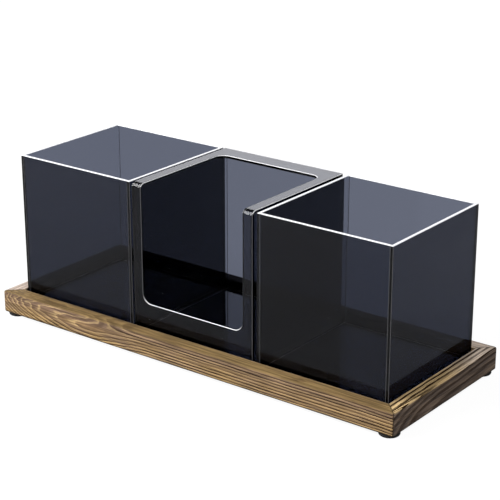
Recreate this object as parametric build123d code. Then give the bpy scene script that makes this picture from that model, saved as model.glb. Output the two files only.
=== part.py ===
"""Counter caddy: three smoked acrylic bins standing in a shallow mitred wooden tray.

Millimetres, +Z up. The origin is on the counter, under the middle of the tray. X runs along
the row of bins and the front looks towards -Y. Every loose or glued piece is its own solid and
is written to its own file in parts/.
"""
import os

from build123d import *

# ---------------------------------------------------------------- driving sizes, bins
bin_width = 140.0          # outside, along the row
bin_depth = 140.0          # outside, front to back
bin_height = 149.5
sheet = 3.0                # acrylic sheet of every wall and floor
edge_break = 0.35          # polished arris on the exposed edges of the sheet

# ---------------------------------------------------------------- driving sizes, napkin bin
bend_radius = 2.2          # inside of the hot bend between its front and its top
cutout_sill = 33.0         # front left standing below the cut-out
cutout_arm = 11.0          # front and top left standing on each side of it
cutout_back = 20.0         # top left standing behind it
cutout_radius = 10.0       # its four rounded corners

# ---------------------------------------------------------------- driving sizes, tray
bin_gap = 3.6              # between one bin and the next
end_gap = 2.4              # between an end bin and the end rail beside it
side_gap = 3.3             # between a bin and the front or back rail
napkin_shift = 1.4         # the napkin bin stands this far left of the middle
rail_width = 14.4
rail_height = 22.5
rail_outer_round = 2.0     # eased outer arrises of the frame
rail_inner_break = 0.6     # eased inner arris, at the top of the recess
board_thickness = 12.6     # its top is what the bins stand on
tongue_thickness = 5.0     # tongue round the board, in a groove in the rails
tongue_width = 4.5
tongue_rise = 4.0          # underside of the tongue above the underside of the board

# ---------------------------------------------------------------- driving sizes, fixings and feet
nail_leg = 5.0             # V-nail in each mitre: length of a leg
nail_height = 10.0
nail_sheet = 0.6
nail_inset = 5.0           # point of the V from the outer corner, along each rail
foot_diameter = 19.0
foot_height = 3.2
foot_round = 1.8           # rounded lower edge of a foot
foot_setback = 0.5         # rim of a foot from the outside of the tray

# ---------------------------------------------------------------- sizes worked out from those
bin_count = 3
recess_length = bin_count * bin_width + (bin_count - 1) * bin_gap + 2 * end_gap
recess_depth = bin_depth + 2 * side_gap
tray_length = recess_length + 2 * rail_width
tray_depth = recess_depth + 2 * rail_width
tray_bottom = foot_height
stand_level = tray_bottom + board_thickness
bin_front = -bin_depth / 2
bin_back = bin_depth / 2
bin_pitch = bin_width + bin_gap
outer_bend = bend_radius + sheet
foot_inset = foot_diameter / 2 + foot_setback
cut_past = 1.0             # how far a cutting solid runs past what it cuts
same_place = 1e-6          # two coordinates closer than this are the same


def block(x0, x1, y0, y1, z0, z1):
    """A rectangular solid between the given limits."""
    return Pos((x0 + x1) / 2, (y0 + y1) / 2, (z0 + z1) / 2) * Box(x1 - x0, y1 - y0, z1 - z0)


def edges_of(solid, axis, side):
    """The edges round the face of a block that lies furthest along an axis, +1 or -1."""
    return solid.faces().sort_by(axis)[-1 if side > 0 else 0].edges()


# ---------------------------------------------------------------- open bins
def side_panel(x_outer, side):
    """Full-depth side wall. side is -1 for the left one, +1 for the right one."""
    x_inner = x_outer - side * sheet
    wall = block(min(x_outer, x_inner), max(x_outer, x_inner), bin_front, bin_back,
                 stand_level, stand_level + bin_height)
    exposed = ShapeList(set(edges_of(wall, Axis.X, side)) | set(edges_of(wall, Axis.Z, 1)))
    return chamfer(exposed, edge_break)


def cross_panel(x_left, y_outer, side):
    """Front (side -1) or back (side +1) wall, glued between the two side walls."""
    y_inner = y_outer - side * sheet
    wall = block(x_left + sheet, x_left + bin_width - sheet, min(y_outer, y_inner),
                 max(y_outer, y_inner), stand_level, stand_level + bin_height)
    along = wall.edges().filter_by(Axis.X)
    rim = along.group_by(Axis.Z)[-1]
    foot_edge = along.group_by(Axis.Z)[0].sort_by(Axis.Y)[-1 if side > 0 else 0]
    return chamfer(ShapeList([*rim, foot_edge]), edge_break)


def floor_panel(x_left):
    """Floor between the four walls, flush with their lower edges."""
    return block(x_left + sheet, x_left + bin_width - sheet, bin_front + sheet,
                 bin_back - sheet, stand_level, stand_level + sheet)


def open_bin(name, x_left):
    """Five panels of an open-topped square bin."""
    return {
        f"{name}_left_wall": side_panel(x_left, -1),
        f"{name}_right_wall": side_panel(x_left + bin_width, 1),
        f"{name}_front_wall": cross_panel(x_left, bin_front, -1),
        f"{name}_back_wall": cross_panel(x_left, bin_back, 1),
        f"{name}_floor": floor_panel(x_left),
    }


# ---------------------------------------------------------------- napkin bin
def bend_outline(offset):
    """Side view of the bent sheet's skin, offset inwards from its outside, as a closed face."""
    front = bin_front + offset
    top = stand_level + bin_height - offset
    with BuildSketch(Plane.YZ) as outline:
        with BuildLine():
            Polyline((front, stand_level), (front, top), (bin_back, top),
                     (bin_back, stand_level), close=True)
        make_face()
        top_row = outline.vertices().group_by(Axis.Y)[-1]      # drawn with Y along X, Z along Y
        fillet(top_row.sort_by(Axis.X)[0], radius=outer_bend - offset)
    return outline.sketch


def napkin_hood(x_left):
    """Front and top in one sheet, bent hot, with one cut-out that runs over the bend."""
    x_right = x_left + bin_width
    top = stand_level + bin_height
    outside = extrude(bend_outline(0), bin_width)
    inside = extrude(bend_outline(sheet), bin_width)
    hood = Pos(x_left, 0, 0) * (outside - inside)
    hole_left = x_left + cutout_arm
    hole_right = x_right - cutout_arm
    hole_back = bin_back - cutout_back
    hole_sill = stand_level + cutout_sill
    past = sheet + outer_bend
    front_hole = block(hole_left, hole_right, bin_front - past, bin_front + past,
                       hole_sill, top + past)
    front_hole = fillet(front_hole.edges().filter_by(Axis.Y).group_by(Axis.Z)[0], cutout_radius)
    top_hole = block(hole_left, hole_right, bin_front - past, hole_back, top - past, top + past)
    top_hole = fillet(top_hole.edges().filter_by(Axis.Z).group_by(Axis.Y)[-1], cutout_radius)
    return hood - front_hole - top_hole


def napkin_side(x_outer, side):
    """Side wall under the bent sheet, with its top front corner rounded to fit the bend."""
    wall = extrude(bend_outline(sheet), sheet)
    return Pos(x_outer if side < 0 else x_outer - sheet, 0, 0) * wall


def napkin_bin(name, x_left):
    """Hood, two sides, back and floor of the napkin bin."""
    back = block(x_left + sheet, x_left + bin_width - sheet, bin_back - sheet, bin_back,
                 stand_level, stand_level + bin_height - sheet)
    return {
        f"{name}_front_and_top": napkin_hood(x_left),
        f"{name}_left_wall": napkin_side(x_left, -1),
        f"{name}_right_wall": napkin_side(x_left + bin_width, 1),
        f"{name}_back_wall": back,
        f"{name}_floor": floor_panel(x_left),
    }


# ---------------------------------------------------------------- tray
def nail_outline(swell=0.0):
    """Plan of a V-nail at the front left corner: two legs that meet on the mitre line."""
    tip = nail_inset
    reach = nail_leg / 2 ** 0.5
    thick = nail_sheet * 2 ** 0.5
    with BuildSketch() as plan:
        with BuildLine():
            Polyline((tip, tip), (tip + 2 * reach, tip), (tip + 2 * reach, tip + thick),
                     (tip + thick, tip + thick), (tip + thick, tip + 2 * reach),
                     (tip, tip + 2 * reach), close=True)
        make_face()
    return plan.sketch


def corner_nails():
    """One V-nail pressed into the underside of each mitre, as four solids."""
    nail = Pos(-tray_length / 2, -tray_depth / 2, tray_bottom) * extrude(nail_outline(), nail_height)
    mirrored = mirror(nail, about=Plane.YZ)
    return [nail, mirrored, mirror(nail, about=Plane.XZ), mirror(mirrored, about=Plane.XZ)]


def tray_board():
    """Black board that fills the frame, with a tongue all round."""
    panel = block(-recess_length / 2, recess_length / 2, -recess_depth / 2, recess_depth / 2,
                  tray_bottom, stand_level)
    tongue = block(-recess_length / 2 - tongue_width, recess_length / 2 + tongue_width,
                   -recess_depth / 2 - tongue_width, recess_depth / 2 + tongue_width,
                   tray_bottom + tongue_rise, tray_bottom + tongue_rise + tongue_thickness)
    return panel + tongue


def tray_frame():
    """The whole frame before it is cut at the mitres, grooved for the board's tongue."""
    outside = block(-tray_length / 2, tray_length / 2, -tray_depth / 2, tray_depth / 2,
                    tray_bottom, tray_bottom + rail_height)
    outside = fillet(outside.edges(), rail_outer_round)
    recess = block(-recess_length / 2, recess_length / 2, -recess_depth / 2, recess_depth / 2,
                   tray_bottom - cut_past, tray_bottom + rail_height + cut_past)
    frame = outside - recess
    inner_arris = frame.edges().filter_by(GeomType.LINE).filter_by(
        lambda edge: abs(edge.center().Z - tray_bottom - rail_height) < same_place
        and abs(edge.center().X) <= recess_length / 2 + same_place
        and abs(edge.center().Y) <= recess_depth / 2 + same_place)
    frame = chamfer(inner_arris, rail_inner_break)
    frame = frame - tray_board()
    for nail in corner_nails():
        frame = frame - nail
    return frame


def tray_rails():
    """The frame cut into its four rails along the mitres."""
    frame = tray_frame()
    half_x = tray_length / 2
    half_y = tray_depth / 2
    inner_x = half_x - half_y          # where two mitre lines meet, on the tray's long axis
    tall = tray_bottom + rail_height + cut_past
    plans = {
        "tray_front_rail": [(-half_x, -half_y), (half_x, -half_y), (inner_x, 0), (-inner_x, 0)],
        "tray_back_rail": [(-half_x, half_y), (half_x, half_y), (inner_x, 0), (-inner_x, 0)],
        "tray_left_rail": [(-half_x, -half_y), (-half_x, half_y), (-inner_x, 0)],
        "tray_right_rail": [(half_x, -half_y), (half_x, half_y), (inner_x, 0)],
    }
    rails = {}
    for name, corners in plans.items():
        with BuildSketch() as plan:
            with BuildLine():
                Polyline(*corners, close=True)
            make_face()
        rails[name] = frame & extrude(plan.sketch, tall)
    return rails


def foot(x, y):
    """Soft bumper stuck across the rails' corner and the board."""
    disc = Pos(x, y, foot_height / 2) * Cylinder(foot_diameter / 2, foot_height)
    return fillet(disc.edges().group_by(Axis.Z)[0], foot_round)


# ---------------------------------------------------------------- the whole caddy
def all_nodes():
    """Every piece of the caddy, by name."""
    nodes = {}
    first_left = -recess_length / 2 + end_gap
    nodes.update(open_bin("left_bin", first_left))
    nodes.update(napkin_bin("napkin_bin", first_left + bin_pitch - napkin_shift))
    nodes.update(open_bin("right_bin", first_left + 2 * bin_pitch))
    nodes.update(tray_rails())
    nodes["tray_board"] = tray_board()
    nodes["tray_corner_nails"] = Compound(children=corner_nails())
    for end, x_side in (("left", -1), ("right", 1)):
        for row, y_side in (("front", -1), ("back", 1)):
            nodes[f"foot_{row}_{end}"] = foot(x_side * (tray_length / 2 - foot_inset),
                                              y_side * (tray_depth / 2 - foot_inset))
    return nodes


os.makedirs("parts", exist_ok=True)
for node_name, shape in all_nodes().items():
    export_step(shape, f"parts/{node_name}.step")
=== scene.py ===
"""Counter caddy: three smoked acrylic bins in a mitred tray of burnt and brushed pine.

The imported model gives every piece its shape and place, in metres. This file gives each piece its
finish, and sets up the camera and the studio.
"""
import math

import bpy
from mathutils import Matrix, Vector


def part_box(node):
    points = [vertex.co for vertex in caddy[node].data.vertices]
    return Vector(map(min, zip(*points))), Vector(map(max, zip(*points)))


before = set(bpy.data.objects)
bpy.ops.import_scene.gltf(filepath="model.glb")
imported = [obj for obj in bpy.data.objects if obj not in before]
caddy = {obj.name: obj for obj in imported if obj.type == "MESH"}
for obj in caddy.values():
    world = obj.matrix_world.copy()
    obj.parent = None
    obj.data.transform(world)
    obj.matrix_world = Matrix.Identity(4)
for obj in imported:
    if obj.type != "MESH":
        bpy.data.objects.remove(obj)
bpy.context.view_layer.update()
scene = bpy.context.scene

# ---------------------------------------------------------------- camera
# A short telephoto stands at the front right, a little above the bins, level to a hair.
# These numbers come from the corners of the tray and the bins in the photograph.
camera_azimuth = math.radians(37.435)
camera_elevation = math.radians(20.1602)
camera_roll = -0.0007
camera_distance = 1.5615
camera_target = Vector((-0.03213, 0.05844, 0.070))
camera_lens = 114.011          # on a sensor 36 mm wide

backwards = Vector((
    math.sin(camera_azimuth) * math.cos(camera_elevation),
    -math.cos(camera_azimuth) * math.cos(camera_elevation),
    math.sin(camera_elevation),
))
level_right = (-backwards).cross(Vector((0, 0, 1))).normalized()
level_up = backwards.cross(level_right)
turned_right = level_right * math.cos(camera_roll) + level_up * math.sin(camera_roll)
turned_up = level_up * math.cos(camera_roll) - level_right * math.sin(camera_roll)
camera_turn = Matrix((turned_right, turned_up, backwards)).transposed().to_4x4()

camera_data = bpy.data.cameras.new("product_camera")
camera_data.sensor_width = 36.0
camera_data.lens = camera_lens
camera_data.clip_start = 0.1
camera_data.clip_end = 30.0
camera = bpy.data.objects.new("product_camera", camera_data)
camera.matrix_world = Matrix.Translation(camera_target + backwards * camera_distance) @ camera_turn
scene.collection.objects.link(camera)
scene.camera = camera


# ---------------------------------------------------------------- studio
# A white paper sweep under soft light: a wide softbox low behind the caddy on the left, which the
# level edges mirror, and a key from the front left. What faces right stays in shade.
paper_half = 7.0
paper_seen = (0.92, 0.92, 0.92, 1.0)       # what the camera and clear sheets see of the paper
paper_shaded = (0.14, 0.14, 0.14, 1.0)     # how much of the shadow shows on it
paper_plain = (0.27, 0.27, 0.28, 1.0)      # what lights the caddy from below
gloss_share = 0.03                         # how much of the plain white the gloss shows
sky_strength = 0.10

scene.view_settings.view_transform = "Standard"
scene.cycles.caustics_reflective = False
scene.cycles.caustics_refractive = False
scene.cycles.max_bounces = 16
scene.cycles.transmission_bounces = 16
scene.cycles.glossy_bounces = 8


def add(tree, kind, wires=None, **settings):
    """Adds a shader node. wires gives each input a value, or another node's output."""
    made = tree.nodes.new("ShaderNode" + kind)
    for name, value in settings.items():
        setattr(made, name, value)
    for socket, value in (wires or {}).items():
        if isinstance(value, bpy.types.NodeSocket):
            tree.links.new(value, made.inputs[socket])
        else:
            made.inputs[socket].default_value = value
    return made


def math_of(tree, operation, *values, clamp=False):
    """Output of a Math node that works on the given values."""
    wires = dict(enumerate(values))
    return add(tree, "Math", wires, operation=operation, use_clamp=clamp).outputs[0]


def blank_material(name):
    """A material with nothing in its tree, and that tree."""
    material = bpy.data.materials.new(name)
    material.use_nodes = True
    material.node_tree.nodes.clear()
    return material, material.node_tree


sweep, tree = blank_material("paper_sweep")
light_path = add(tree, "LightPath").outputs
shown_plain = math_of(tree, "ADD", light_path["Is Camera Ray"], light_path["Is Transmission Ray"])
shown_plain = math_of(
    tree, "MULTIPLY_ADD", light_path["Is Glossy Ray"], gloss_share, shown_plain, clamp=True)
lit_paper = add(tree, "BsdfDiffuse", {"Color": paper_plain}).outputs[0]
white_paper = add(tree, "AddShader", {
    0: add(tree, "Emission", {"Color": paper_seen}).outputs[0],
    1: add(tree, "BsdfDiffuse", {"Color": paper_shaded}).outputs[0],
}).outputs[0]
either = add(tree, "MixShader", {0: shown_plain, 1: lit_paper, 2: white_paper})
add(tree, "OutputMaterial", {"Surface": either.outputs[0]})

paper_mesh = bpy.data.meshes.new("paper_sweep")
paper_corners = [(x * paper_half, y * paper_half, 0) for x, y in ((-1, -1), (1, -1), (1, 1), (-1, 1))]
paper_mesh.from_pydata(paper_corners, [], [(0, 1, 2, 3)])
paper_mesh.materials.append(sweep)
paper = bpy.data.objects.new("paper_sweep", paper_mesh)
scene.collection.objects.link(paper)

sky = bpy.data.worlds.new("studio_air")
scene.world = sky
sky.use_nodes = True
tree = sky.node_tree
tree.nodes.clear()
light_path = add(tree, "LightPath").outputs
seen_direct = math_of(
    tree, "ADD", light_path["Is Camera Ray"], light_path["Is Transmission Ray"], clamp=True)
air_light = add(tree, "Background", {"Color": (1, 1, 1, 1), "Strength": sky_strength}).outputs[0]
air_white = add(tree, "Background", {"Color": (1, 1, 1, 1), "Strength": 1.0}).outputs[0]
either = add(tree, "MixShader", {0: seen_direct, 1: air_light, 2: air_white})
add(tree, "OutputWorld", {"Surface": either.outputs[0]})


def softbox(name, place, aim, width, height, radiance, colour=(1, 1, 1)):
    """A rectangular area light that looks at a point and glows evenly."""
    lamp = bpy.data.lights.new(name, "AREA")
    lamp.shape = "RECTANGLE"
    lamp.size = width
    lamp.size_y = height
    lamp.energy = radiance * math.pi * width * height
    lamp.color = colour
    box = bpy.data.objects.new(name, lamp)
    box.location = place
    box.rotation_euler = (Vector(aim) - Vector(place)).to_track_quat("-Z", "Y").to_euler()
    scene.collection.objects.link(box)
    return box


softbox("rim_softbox", (-1.10, 1.45, 0.78), (0, 0, 0.1), width=2.2, height=1.1, radiance=1.6,
        colour=(0.93, 0.94, 1.0))
softbox("key_softbox", (-1.45, -1.35, 1.35), (0, 0, 0.05), width=2.0, height=1.6, radiance=7.4)
softbox("fill_softbox", (1.15, -0.55, 1.35), (0.2, 0, 0.05), width=0.9, height=0.7, radiance=8.0)


# ---------------------------------------------------------------- tray rails
# Four lengths of pine, burnt, wire-brushed and oiled, so the hard rings stand dark and proud of
# the soft wood. They are mitred, glued and V-nailed into a frame.
rail_width = 0.0144
tray_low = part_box("tray_front_rail")[0]
tray_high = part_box("tray_back_rail")[1]
half_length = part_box("tray_right_rail")[1].x
half_depth = tray_high.y


def group_tree(name, inputs, outputs):
    """A shader node group with named inputs and outputs, its inputs and its outputs."""
    group = bpy.data.node_groups.new(name, "ShaderNodeTree")
    for socket_name, kind, value in inputs:
        socket = group.interface.new_socket(socket_name, in_out="INPUT", socket_type=kind)
        socket.default_value = value
    for socket_name in outputs:
        group.interface.new_socket(socket_name, in_out="OUTPUT", socket_type="NodeSocketFloat")
    entry = group.nodes.new("NodeGroupInput")
    leave = group.nodes.new("NodeGroupOutput")
    return group, entry.outputs, leave.inputs


def vector_of(tree, operation, *values):
    """Output of a Vector Math node that works on the given values."""
    made = add(tree, "VectorMath", dict(enumerate(values)), operation=operation)
    return made.outputs["Value"] if operation == "LENGTH" else made.outputs[0]


def stretched_noise(tree, board, stretch, detail):
    """Noise drawn out along the board. stretch is how often it changes per metre, each way."""
    spread = vector_of(tree, "MULTIPLY", board, stretch)
    noise = add(tree, "TexNoise", {"Vector": spread, "Scale": 1.0, "Detail": detail})
    return noise.outputs[0]


def smooth_range(tree, value, low, high, start=0.0, end=1.0):
    """value between low and high, eased into start to end."""
    eased = add(tree, "MapRange", {
        "Value": value, "From Min": low, "From Max": high, "To Min": start, "To Max": end,
    }, interpolation_type="SMOOTHSTEP")
    return eased.outputs[0]


# The year rings of one board. X runs along it, Y goes in from its outer face and Z up it.
heart_run = 0.12                           # how far along the board the heart goes on dropping
even_rings_height = 0.012                  # the straight rings are counted from here
wood, board, out = group_tree("pine_rings", [
    ("Board", "NodeSocketVector", (0, 0, 0)),
    ("Cut", "NodeSocketVector", (0, 0, 0)),
    ("Heart Depth", "NodeSocketFloat", 0.025),
    ("Heart Height", "NodeSocketFloat", 0.018),
    ("Heart Drop", "NodeSocketFloat", 0.0),
    ("Ring Width", "NodeSocketFloat", 0.0008),
    ("Taper", "NodeSocketFloat", 0.0),
    ("Taper Length", "NodeSocketFloat", 0.05),
    ("Wander", "NodeSocketFloat", 0.004),
    ("Ripple", "NodeSocketFloat", 0.0008),
    ("Curl", "NodeSocketFloat", 0.0),
    ("Flat Rings", "NodeSocketFloat", 0.25),
    ("Rings Above", "NodeSocketFloat", 0.5),
    ("Straight From", "NodeSocketFloat", 10.0),
    ("Straight To", "NodeSocketFloat", 11.0),
], ["Dark Ring", "Ridge Highlight", "Fibre", "Weather", "Relief"])
parts = add(wood, "SeparateXYZ", {0: board["Board"]}).outputs
sample = vector_of(wood, "ADD", board["Board"], board["Cut"])
slow = math_of(wood, "SUBTRACT", stretched_noise(wood, sample, (9, 30, 30), 1.0), 0.5)
height_noise = stretched_noise(wood, vector_of(wood, "ADD", sample, (3.1, 1.7, 5.3)), (7, 9, 9), 1.0)
height_noise = math_of(wood, "SUBTRACT", height_noise, 0.5)
quick = math_of(wood, "SUBTRACT", stretched_noise(wood, sample, (60, 170, 170), 2.0), 0.5)
near_end = math_of(wood, "DIVIDE", parts[0], board["Taper Length"])
near_end = math_of(wood, "EXPONENT", math_of(wood, "MULTIPLY", near_end, -1.0))
dropping = math_of(wood, "MINIMUM", parts[0], heart_run)
height = math_of(wood, "SUBTRACT", parts[2], board["Heart Height"])
height = math_of(wood, "MULTIPLY_ADD", dropping, board["Heart Drop"], height)
height = math_of(wood, "MULTIPLY_ADD", height_noise, board["Wander"], height)
depth = math_of(wood, "SUBTRACT", parts[1], board["Heart Depth"])
depth = math_of(wood, "MULTIPLY_ADD", slow, board["Wander"], depth)
across = add(wood, "CombineXYZ", {1: depth, 2: height}).outputs[0]
radius = vector_of(wood, "LENGTH", across)
tapered = math_of(wood, "MULTIPLY", near_end, smooth_range(wood, parts[1], 0.0005, 0.004, 1.0, 0.1))
radius = math_of(wood, "MULTIPLY_ADD", tapered, board["Taper"], radius)
# Further along, the board leaves the heart and its rings run straight and even.
straight = smooth_range(wood, parts[0], board["Straight From"], board["Straight To"])
even_radius = math_of(wood, "SUBTRACT", even_rings_height, height)
radius_change = math_of(wood, "SUBTRACT", even_radius, radius)
radius = math_of(wood, "MULTIPLY_ADD", straight, radius_change, radius)
curly = math_of(wood, "MULTIPLY", smooth_range(wood, height, -0.006, 0.002), near_end)
curly = math_of(wood, "MULTIPLY_ADD", curly, board["Curl"], board["Ripple"])
radius = math_of(wood, "MULTIPLY_ADD", quick, curly, radius)
ring = math_of(wood, "DIVIDE", radius, board["Ring Width"])
uneven = add(wood, "TexNoise", {"W": math_of(wood, "MULTIPLY", ring, 0.4), "Scale": 1.0},
             noise_dimensions="1D").outputs[0]
ring = math_of(wood, "MULTIPLY_ADD", uneven, 0.9, ring)
ring_phase = math_of(wood, "FRACT", ring)
ring_number = math_of(wood, "FLOOR", ring)
ring_chance = add(wood, "TexWhiteNoise", {"W": ring_number}, noise_dimensions="1D").outputs[0]
hardening = smooth_range(wood, ring_phase, 0.47, 0.68)
ring_end = smooth_range(wood, ring_phase, 0.93, 1.0, 1.0, 0.0)
dark_ring = math_of(wood, "MULTIPLY", hardening, ring_end)
dark_ring = math_of(wood, "MULTIPLY", dark_ring, math_of(wood, "MULTIPLY_ADD", ring_chance, 0.35, 0.65))
# Where a ring runs flat in the face it is broad and pale, and above the heart it is fainter.
steepness = math_of(wood, "DIVIDE", math_of(wood, "ABSOLUTE", height), radius)
steepness = math_of(wood, "MAXIMUM", smooth_range(wood, steepness, 0.10, 0.55), board["Flat Rings"])
above = smooth_range(wood, height, -0.002, 0.003, 1.0, board["Rings Above"])
clearness = math_of(wood, "MAXIMUM", math_of(wood, "MULTIPLY", steepness, above), straight)
broken = stretched_noise(wood, vector_of(wood, "ADD", sample, (4.4, 2.2, 8.1)), (30, 420, 420), 2.0)
broken = smooth_range(wood, broken, 0.34, 0.56, 0.6, 1.0)
dark_ring = math_of(wood, "MULTIPLY", dark_ring, math_of(wood, "MULTIPLY", clearness, broken))
# Painted highlight: a bright band just after each dark ring, where the proud ring's edge would catch the
# light.
ridge_highlight = math_of(wood, "MULTIPLY", smooth_range(wood, ring_phase, 0.0, 0.06),
                    smooth_range(wood, ring_phase, 0.10, 0.42, 1.0, 0.0))
fibre = smooth_range(wood, stretched_noise(wood, sample, (24, 700, 700), 4.0), 0.30, 0.70)
patches = stretched_noise(wood, vector_of(wood, "ADD", sample, (7.7, 0.4, 2.9)), (16, 60, 90), 2.0)
weather = smooth_range(wood, patches, 0.36, 0.62)
relief = math_of(wood, "MULTIPLY_ADD", fibre, 0.35, dark_ring)
for socket_name, value in (("Dark Ring", dark_ring), ("Ridge Highlight", ridge_highlight), ("Fibre", fibre),
                           ("Weather", weather), ("Relief", relief)):
    wood.links.new(value, out[socket_name])

# Where a rail is dark or worn, and where it faces up: the open line of the mitres, a darker line
# along the lower arris, the pale brushed arris next to the bins, and the level faces.
mitre_open = 0.0003                        # half the open line, and where its darkness ends
mitre_fade = 0.0010
dark_low_full = 0.0010                      # fully darkened up to here, and not above there
dark_low_fade = 0.0024
recess_arris = 0.0205                      # height at which the arris next to the bins begins
edge_marking, rail, out = group_tree("rail_edges_and_facing", [
    ("Board", "NodeSocketVector", (0, 0, 0)),
    ("Rail Length", "NodeSocketFloat", 0.46),
], ["Mitre Line", "Dark Low Edge", "Brushed Edge", "Level"])
parts = add(edge_marking, "SeparateXYZ", {0: rail["Board"]}).outputs
left_mitre = math_of(edge_marking, "SUBTRACT", parts[0], parts[1])
from_right_end = math_of(edge_marking, "SUBTRACT", rail["Rail Length"], parts[0])
right_mitre = math_of(edge_marking, "SUBTRACT", from_right_end, parts[1])
nearest_mitre = math_of(edge_marking, "MINIMUM", left_mitre, right_mitre)
mitre_line = smooth_range(edge_marking, nearest_mitre, mitre_open, mitre_fade, 1.0, 0.0)
frayed = stretched_noise(edge_marking, rail["Board"], (90, 400, 400), 2.0)
low_edge = math_of(edge_marking, "MULTIPLY_ADD", frayed, 0.0014, -0.0007)
low_edge = math_of(edge_marking, "ADD", parts[2], low_edge)
low_edge_dark = smooth_range(edge_marking, low_edge, dark_low_full, dark_low_fade, 1.0, 0.0)
inner_edge = smooth_range(edge_marking, parts[1], rail_width - 0.0011, rail_width - 0.0004)
near_top = smooth_range(edge_marking, parts[2], recess_arris, recess_arris + 0.001)
inner_edge = math_of(edge_marking, "MULTIPLY", inner_edge, near_top)
facing = add(edge_marking, "SeparateXYZ", {0: add(edge_marking, "TexCoord").outputs["Normal"]}).outputs
level = smooth_range(edge_marking, facing[2], 0.25, 0.65)
for socket_name, value in (("Mitre Line", mitre_line), ("Dark Low Edge", low_edge_dark),
                           ("Brushed Edge", inner_edge), ("Level", level)):
    edge_marking.links.new(value, out[socket_name])


def mixed(tree, share, first, second, blend="MIX"):
    """Output of a colour mix."""
    made = add(tree, "Mix", data_type="RGBA", blend_type=blend)
    for socket, value in ((0, share), (6, first), (7, second)):
        if isinstance(value, bpy.types.NodeSocket):
            tree.links.new(value, made.inputs[socket])
        else:
            made.inputs[socket].default_value = value
    return made.outputs[2]


dark_ring_and_mirror_shade = (0.036, 0.017, 0.006, 1.0)
dark_edge_wood = (0.030, 0.020, 0.012, 1.0)
brushed_arris = (0.62, 0.48, 0.33, 1.0)
glare_pale_wood = (0.92, 0.78, 0.68, 1.0)
brushed_depth = 0.0006                     # how far the hard rings stand proud
mirrored_shade = 0.95                      # painted shade: how far the wood is painted dark where the bins' walls mirror it
grey_from = 0.010                          # heights between which the side turns grey
grey_full = 0.018
glare_from = 0.085                        # distances along between which the top is painted pale, a painted glare
glare_full = 0.145
brushed_share = 0.85
low_edge_share = 0.8
mitre_share = 0.7


def burnt_pine(rail_name, turn, length, growth, colours, shares):
    """The finish of one rail. growth places its rings, and turn faces the board outwards."""
    material, tree = blank_material(rail_name + "_pine")
    place = add(tree, "TexCoord").outputs["Object"]
    outwards = half_depth if turn in (0, 180) else half_length
    turned = add(tree, "Mapping", {
        "Vector": place,
        "Rotation": (0, 0, math.radians(turn)),
        "Location": (length / 2, outwards, -tray_low.z),
    }).outputs[0]
    rings = add(tree, "Group", node_tree=wood)
    tree.links.new(turned, rings.inputs["Board"])
    for socket_name, value in growth.items():
        rings.inputs[socket_name].default_value = value
    marked = add(tree, "Group", node_tree=edge_marking)
    tree.links.new(turned, marked.inputs["Board"])
    marked.inputs["Rail Length"].default_value = length
    rings = rings.outputs
    marked = marked.outputs

    board = add(tree, "SeparateXYZ", {0: turned}).outputs
    weathered = math_of(tree, "MULTIPLY", rings["Weather"], shares["grey"])
    grey_share = math_of(tree, "MAXIMUM", weathered, smooth_range(
        tree, board[2], grey_from, grey_full, 0.0, shares["grey above"]))
    colour = mixed(tree, grey_share, colours["gold"], colours["grey"])
    # Painted highlight on each ring's proud edge, in the rail's bright colour.
    ridge_highlight_share = math_of(tree, "MULTIPLY", rings["Ridge Highlight"], shares["bright"])
    colour = mixed(tree, ridge_highlight_share, colour, colours["bright"])
    # Painted glare: the top is painted paler further along the rail.
    glare_top = smooth_range(tree, board[0], glare_from, glare_full, 0.0, shares["glare at far end"])
    glare_top = mixed(tree, glare_top, colours["top"], glare_pale_wood)
    # Painted light and shade: the level faces take each rail's own top tone, set by how light falls
    # there.
    colour = mixed(tree, math_of(tree, "MULTIPLY", marked["Level"], shares["top"]), colour, glare_top)
    streak = smooth_range(tree, rings["Fibre"], 0.0, 1.0, 0.60, 1.18)
    streak = add(tree, "CombineXYZ", {0: streak, 1: streak, 2: streak}).outputs[0]
    colour = mixed(tree, 1.0, colour, streak, "MULTIPLY")
    ring_share = smooth_range(tree, marked["Level"], 0.0, 1.0, shares["side rings"], shares["top rings"])
    ring_share = math_of(tree, "MULTIPLY", rings["Dark Ring"], ring_share)
    colour = mixed(tree, ring_share, colour, dark_ring_and_mirror_shade)
    for mark, share, tone in (("Brushed Edge", brushed_share, brushed_arris),
                              ("Dark Low Edge", low_edge_share, dark_edge_wood),
                              ("Mitre Line", mitre_share, dark_edge_wood)):
        colour = mixed(tree, math_of(tree, "MULTIPLY", marked[mark], share), colour, tone)
    # Painted shade: to glossy rays the wood is painted the dark ring colour, so the bins' walls mirror
    # it dark.
    in_gloss = math_of(tree, "MULTIPLY", add(tree, "LightPath").outputs["Is Glossy Ray"], mirrored_shade)
    colour = mixed(tree, in_gloss, colour, dark_ring_and_mirror_shade)
    bump = add(tree, "Bump", {"Height": rings["Relief"], "Strength": 1.0, "Distance": brushed_depth})
    pine = add(tree, "BsdfPrincipled", {
        "Base Color": colour,
        "Roughness": smooth_range(tree, rings["Fibre"], 0.0, 1.0, 0.52, 0.68),
        "Specular IOR Level": 0.12,
        "Normal": bump.outputs[0],
    })
    add(tree, "OutputMaterial", {"Surface": pine.outputs[0]})
    return material


def finish_node(node_name, material):
    """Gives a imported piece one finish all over."""
    piece = caddy[node_name]
    piece.data.materials.clear()
    piece.data.materials.append(material)
    return piece


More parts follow.
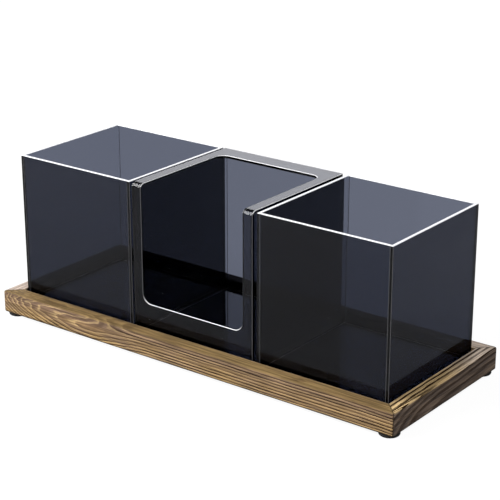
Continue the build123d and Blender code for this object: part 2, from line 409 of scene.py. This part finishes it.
# The front rail shows its heart at the left end, and straight, even rings further along.
# Its top is painted dark, a painted shade that also keeps its mirror image in the bins dark.
finish_node("tray_front_rail", burnt_pine("tray_front_rail", 0, 2 * half_length, {
    "Cut": (0.0, 0.0, 0.0),
    "Heart Depth": 0.006, "Heart Height": 0.0180, "Heart Drop": 0.05, "Ring Width": 0.0028,
    "Taper": 0.026, "Taper Length": 0.050, "Wander": 0.005, "Ripple": 0.0010, "Curl": 0.012,
    "Flat Rings": 0.45, "Rings Above": 0.45, "Straight From": 0.09, "Straight To": 0.19,
}, {
    "gold": (0.42, 0.262, 0.115, 1.0), "grey": (0.275, 0.178, 0.130, 1.0),
    "bright": (0.76, 0.53, 0.25, 1.0), "top": (0.22, 0.143, 0.052, 1.0),
}, {"grey": 0.7, "grey above": 0.8, "bright": 0.62, "top": 0.80,
    "side rings": 1.0, "top rings": 0.6, "glare at far end": 0.0}))
# The right rail is sawn further out: wide rings on its side, close bold ones on its top. Its side
# is painted darker, a painted shade, and its top brighter, a painted light where the bins shade it.
finish_node("tray_right_rail", burnt_pine("tray_right_rail", -90, 2 * half_depth, {
    "Cut": (1.3, 0.2, 0.4),
    "Heart Depth": -0.030, "Heart Height": -0.004, "Heart Drop": 0.0, "Ring Width": 0.0036,
    "Taper": 0.012, "Taper Length": 0.050, "Wander": 0.006, "Ripple": 0.0010, "Curl": 0.0,
    "Flat Rings": 1.0, "Rings Above": 1.0,
}, {
    "gold": (0.20, 0.142, 0.105, 1.0), "grey": (0.15, 0.115, 0.095, 1.0),
    "bright": (0.30, 0.22, 0.155, 1.0), "top": (0.72, 0.51, 0.255, 1.0),
}, {"grey": 0.9, "grey above": 0.0, "bright": 0.55, "top": 0.9,
    "side rings": 0.8, "top rings": 1.5, "glare at far end": 0.7}))
# The left and back rails are painted paler on top, a painted glare from the light behind them.
finish_node("tray_left_rail", burnt_pine("tray_left_rail", 90, 2 * half_depth, {
    "Cut": (2.2, 0.7, 0.1),
    "Heart Depth": -0.030, "Heart Height": 0.006, "Heart Drop": 0.0, "Ring Width": 0.0035,
    "Taper": 0.010, "Taper Length": 0.06, "Wander": 0.006, "Ripple": 0.0012, "Curl": 0.0,
    "Flat Rings": 1.0, "Rings Above": 1.0,
}, {
    "gold": (0.48, 0.32, 0.17, 1.0), "grey": (0.36, 0.27, 0.19, 1.0),
    "bright": (0.72, 0.52, 0.30, 1.0), "top": (0.72, 0.56, 0.46, 1.0),
}, {"grey": 0.8, "grey above": 0.0, "bright": 0.55, "top": 0.8,
    "side rings": 0.9, "top rings": 0.5, "glare at far end": 0.5}))
finish_node("tray_back_rail", burnt_pine("tray_back_rail", 180, 2 * half_length, {
    "Cut": (3.6, 1.1, 0.8),
    "Heart Depth": 0.010, "Heart Height": 0.008, "Heart Drop": 0.0, "Ring Width": 0.0028,
    "Taper": 0.020, "Taper Length": 0.07, "Wander": 0.006, "Ripple": 0.0012, "Curl": 0.003,
    "Flat Rings": 0.4, "Rings Above": 0.8, "Straight From": 0.12, "Straight To": 0.30,
}, {
    "gold": (0.50, 0.32, 0.15, 1.0), "grey": (0.36, 0.25, 0.16, 1.0),
    "bright": (0.78, 0.55, 0.29, 1.0), "top": (0.80, 0.66, 0.55, 1.0),
}, {"grey": 0.7, "grey above": 0.0, "bright": 0.55, "top": 0.8,
    "side rings": 1.0, "top rings": 0.4, "glare at far end": 0.5}))


# ---------------------------------------------------------------- tray board
# The black board that the bins stand on: laminate on a wood-fibre core, tongued into the rails.
material, tree = blank_material("black_laminate")
place = add(tree, "TexCoord").outputs["Object"]
pebble = add(tree, "TexNoise", {"Vector": place, "Scale": 1400.0, "Detail": 2.0}).outputs[0]
colour = mixed(tree, pebble, (0.006, 0.006, 0.007, 1.0), (0.014, 0.013, 0.013, 1.0))
bump = add(tree, "Bump", {"Height": pebble, "Strength": 0.5, "Distance": 0.0001})
laminate = add(tree, "BsdfPrincipled", {
    "Base Color": colour, "Roughness": 0.42, "Normal": bump.outputs[0],
})
add(tree, "OutputMaterial", {"Surface": laminate.outputs[0]})
finish_node("tray_board", material)


# ---------------------------------------------------------------- corner nails
# V-nails of rolled steel strip, pressed into the mitres from below.
material, tree = blank_material("blued_steel")
place = add(tree, "TexCoord").outputs["Object"]
rolling = stretched_noise(tree, place, (900, 900, 60), 2.0)
colour = mixed(tree, rolling, (0.30, 0.31, 0.34, 1.0), (0.42, 0.43, 0.46, 1.0))
rough = smooth_range(tree, rolling, 0.2, 0.8, 0.28, 0.45)
steel = add(tree, "BsdfPrincipled", {"Base Color": colour, "Metallic": 1.0, "Roughness": rough})
add(tree, "OutputMaterial", {"Surface": steel.outputs[0]})
finish_node("tray_corner_nails", material)


# ---------------------------------------------------------------- feet
# Soft black rubber bumpers, moulded with a rounded lower edge and stuck on under the corners.
material, tree = blank_material("black_rubber")
place = add(tree, "TexCoord").outputs["Object"]
grit = add(tree, "TexNoise", {"Vector": place, "Scale": 1800.0, "Detail": 3.0}).outputs[0]
colour = mixed(tree, grit, (0.008, 0.008, 0.008, 1.0), (0.022, 0.021, 0.020, 1.0))
bump = add(tree, "Bump", {"Height": grit, "Strength": 0.6, "Distance": 0.0001})
rubber = add(tree, "BsdfPrincipled", {
    "Base Color": colour, "Roughness": 0.62, "Normal": bump.outputs[0],
})
add(tree, "OutputMaterial", {"Surface": rubber.outputs[0]})
for foot_name in ("foot_front_left", "foot_front_right", "foot_back_left", "foot_back_right"):
    finish_node(foot_name, material)


# ---------------------------------------------------------------- left and right bins
# Open boxes of cast acrylic sheet 3 mm thick, tinted smoke grey right through. Five panels are
# sawn, scraped along their edges and solvent-welded, so a fine line follows every seam and rim;
# its paleness on the rims is partly a painted highlight.
smoke_density = 655.0                      # of absorption per metre of sheet
smoke_clear = (0.045, 0.092, 0.225, 1.0)   # the share of it that each colour escapes
sheet_gap = 0.00002                        # hair's breadth between two welded sheets
acrylic_ior = 1.49
rim_band = 0.0005                          # a rim's face lies within this of the bin's top
rim_facing = 0.9                           # and looks up at least this much
arris_facing = 0.8                         # a broken arris looks less than this along each axis
weld_within = 1e-6
sharp_corner = math.radians(60)            # what counts as an edge of the sheet, to be scraped
creased_corner = math.radians(25)          # what stays a crease in the shading
sawn_arris = 0.0003

acrylic, tree = blank_material("smoked_acrylic")
place = add(tree, "TexCoord").outputs["Object"]
haze = add(tree, "TexNoise", {"Vector": place, "Scale": 60.0, "Detail": 2.0}).outputs[0]
sheet = add(tree, "BsdfPrincipled", {
    "Base Color": (1.0, 1.0, 1.0, 1.0),
    "Roughness": smooth_range(tree, haze, 0.3, 0.7, 0.0, 0.02),
    "IOR": acrylic_ior,
    "Transmission Weight": 1.0,
})
smoke = add(tree, "VolumeAbsorption", {"Color": smoke_clear, "Density": smoke_density})
add(tree, "OutputMaterial", {"Surface": sheet.outputs[0], "Volume": smoke.outputs[0]})

# The scraped edges are satin, with painted light: painted pale as a highlight where they look up,
# and painted dull as shade where they stand upright.
scraped_edge, tree = blank_material("scraped_edge")
surface = add(tree, "TexCoord").outputs
scrape = add(tree, "TexNoise", {"Vector": surface["Object"], "Scale": 700.0, "Detail": 2.0}).outputs[0]
up_facing_highlight = mixed(tree, scrape, (0.90, 0.91, 0.94, 1.0), (0.98, 0.98, 1.0, 1.0))
upright_shade = mixed(tree, scrape, (0.10, 0.10, 0.105, 1.0), (0.20, 0.20, 0.21, 1.0))
facing = add(tree, "SeparateXYZ", {0: surface["Normal"]}).outputs
colour = mixed(tree, smooth_range(tree, facing[2], 0.2, 0.6), upright_shade, up_facing_highlight)
satin = add(tree, "BsdfPrincipled", {"Base Color": colour, "Roughness": 0.25, "IOR": acrylic_ior})
add(tree, "OutputMaterial", {"Surface": satin.outputs[0]})


def smoked_panel(panel_name, arris):
    """Finishes one panel of sheet, its arrises scraped off by the given width."""
    panel = finish_node(panel_name, acrylic)
    panel.data.materials.append(scraped_edge)
    if "custom_normal" in panel.data.attributes:
        panel.data.attributes.remove(panel.data.attributes["custom_normal"])
    weld = panel.modifiers.new("weld", "WELD")
    weld.merge_threshold = weld_within
    scraped = panel.modifiers.new("scraped", "BEVEL")
    scraped.width = arris
    scraped.segments = 1
    scraped.limit_method = "ANGLE"
    scraped.angle_limit = sharp_corner
    scraped.material = 1
    part = panel.modifiers.new("part", "DISPLACE")
    part.direction = "NORMAL"
    part.mid_level = 0.0
    part.strength = -sheet_gap
    crease = panel.modifiers.new("crease", "EDGE_SPLIT")
    crease.split_angle = creased_corner
    return panel


for bin_name in ("left_bin", "right_bin"):
    for side in ("floor", "left_wall", "right_wall", "front_wall", "back_wall"):
        panel = smoked_panel(f"{bin_name}_{side}", sawn_arris)
        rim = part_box(panel.name)[1].z - rim_band
        for face in panel.data.polygons:
            broken_arris = max(abs(along) for along in face.normal) < arris_facing
            rim_face = face.center.z > rim and face.normal.z > rim_facing
            if side != "floor" and (broken_arris or rim_face):
                face.material_index = 1


# ---------------------------------------------------------------- napkin bin
# Front and top are one sheet, cut out first, then bent over a hot wire and welded onto the three
# walls and the floor. Its cut-out is scraped by hand, so a bright line runs all round it, partly a
# painted highlight where the scraped arrises look up.
hood_arris = 0.00045

for side in ("floor", "left_wall", "right_wall", "back_wall"):
    smoked_panel(f"napkin_bin_{side}", sawn_arris)
hood = smoked_panel("napkin_bin_front_and_top", hood_arris)
even = hood.modifiers.new("even", "WEIGHTED_NORMAL")
even.mode = "FACE_AREA"
even.weight = 100
even.keep_sharp = True
